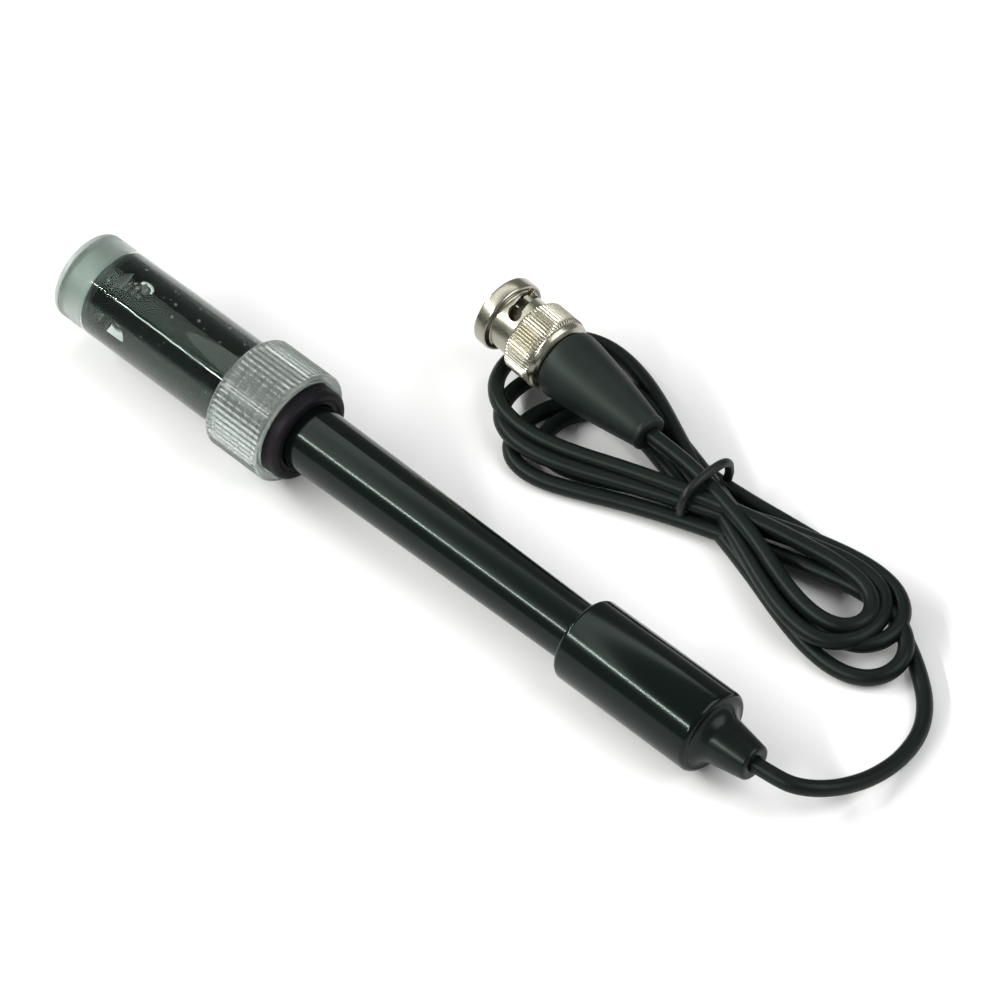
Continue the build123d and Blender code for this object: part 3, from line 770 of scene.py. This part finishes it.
cable_exit = Vector((81.53, 0.0, 7.68))
lead_points = [
    (87.2, 0.3, 7.6), (90.4, 2.0, 7.1), (92.8, 5.0, 6.2), (94.4, 9.0, 4.9), (95.4, 14.5, 3.3),
    (95.4, 21.5, 2.0), (93.7, 28.8, 1.5), (89.8, 34.6, 1.5), (84.4, 39.0, 1.5), (79.4, 42.2, 1.5),
    (74.0, 45.0, 1.5), (68.0, 47.6, 1.6), (61.0, 49.4, 1.7), (53.0, 49.9, 1.8), (45.0, 49.2, 2.0),
    (37.5, 48.0, 2.6),
]
tail_points = [(26.1, 43.9, 8.0), (21.2, 42.9, 8.6), (16.9, 43.3, 9.0)]

# Where each pass of the cable lies inside the tie: across the bundle, and above the table.
waist_x = 30.6
passes = [
    (46.6, 2.9), (38.0, 2.9), (40.9, 2.9), (43.8, 2.9), (45.2, 5.4),
    (39.4, 5.4), (42.3, 5.4), (40.9, 8.0), (43.9, 8.0),
]
# Each loop: its far end, half its width, how blunt its end is, its height and its lean.
loops = [
    (-6.3, 36.0, 10.6, 0.85, 1.7, 0.1),
    (81.6, 36.4, 7.8, 0.75, 3.0, 1.3),
    (-2.0, 38.6, 8.0, 0.80, 1.7, 0.1),
    (76.8, 40.4, 8.2, 0.75, 4.4, 0.4),
    (-12.3, 41.2, 12.6, 0.85, 3.1, -1.5),
    (74.0, 38.2, 8.9, 0.75, 5.3, 0.3),
    (-17.8, 46.6, 14.2, 0.88, 3.6, -2.1),
    (72.2, 38.4, 5.9, 0.70, 6.3, 0.2),
]
loop_steps = 14


def loop_points(enter, leave, far_x, far_y, half_width, blunt, height, lean):
    """A drop-shaped loop from one pass through the tie to the next."""
    points = []
    for step in range(loop_steps):
        part = step / loop_steps
        reach = math.sin(math.pi * part) ** blunt
        side = math.sin(2 * math.pi * part)
        near_y = enter[0] + (leave[0] - enter[0]) * part
        near_z = enter[1] + (leave[1] - enter[1]) * part
        points.append((
            waist_x + (far_x - waist_x) * reach,
            near_y + (far_y - near_y) * reach + half_width * side,
            near_z + (height + lean * side - near_z) * min(1, 1.6 * reach),
        ))
    return points


route = [tuple(cable_exit)] + lead_points
for enter, leave, loop in zip(passes, passes[1:], loops):
    route += loop_points(enter, leave, *loop)
route.append((waist_x, *passes[-1]))
route += tail_points

# The cable is too stiff to kink where it passes the tie, so its corners there are eased.
ease_reach, ease_passes = 13.0, 3
for _ in range(ease_passes):
    eased = list(route)
    for index in range(1, len(route) - 1):
        if abs(route[index][0] - waist_x) < ease_reach:
            before, here, after = (Vector(route[index + step]) for step in (-1, 0, 1))
            eased[index] = tuple(here / 2 + (before + after) / 4)
    route = eased


def cord_curve(name, points, radius, closed=False):
    """A round cord along a smooth line of control points, in millimetres."""
    curve = bpy.data.curves.new(name, "CURVE")
    curve.dimensions = "3D"
    spline = curve.splines.new("NURBS")
    spline.points.add(len(points) - 1)
    for point, spot in zip(spline.points, points):
        point.co = (*(Vector(spot) * MM), 1)
    spline.order_u = 3
    spline.use_endpoint_u = True
    spline.use_cyclic_u = closed
    spline.resolution_u = 8
    curve.bevel_depth = radius * MM
    curve.bevel_resolution = 6
    curve.use_fill_caps = True
    obj = bpy.data.objects.new(name, curve)
    bpy.context.collection.objects.link(obj)
    return obj


cable = cord_curve("cable", route, cable_radius)
dress(
    cable, "electrode", "cable_jacket", jacket, "cord_lead", "hank_left", "hank_right", "cord_tail"
)

# ------------------------------------------------------------------ tie
# A thin band of black rubber cord, closed tightly round the waist of the hank. It is moulded
# as one plain ring and stretched on by hand.
tie_pvc = plain_finish(
    "tie_rubber", (0.004, 0.006, 0.005), (0.009, 0.012, 0.010), 2.0, 0.35, 0.01,
    Specular_IOR_Level=0.25,
)
tie_points = []
tie_steps = 20
for step in range(tie_steps):
    angle = 2 * math.pi * step / tie_steps
    tie_points.append((
        30.8 + 0.5 * math.sin(angle),
        42.5 + 6.35 * math.copysign(abs(math.cos(angle)) ** 0.75, math.cos(angle)),
        5.55 + 4.75 * math.copysign(abs(math.sin(angle)) ** 0.75, math.sin(angle)),
    ))
tie = cord_curve("tie", tie_points, 0.85, closed=True)
dress(tie, "electrode", "tie_rubber", tie_pvc, "cord_tie")
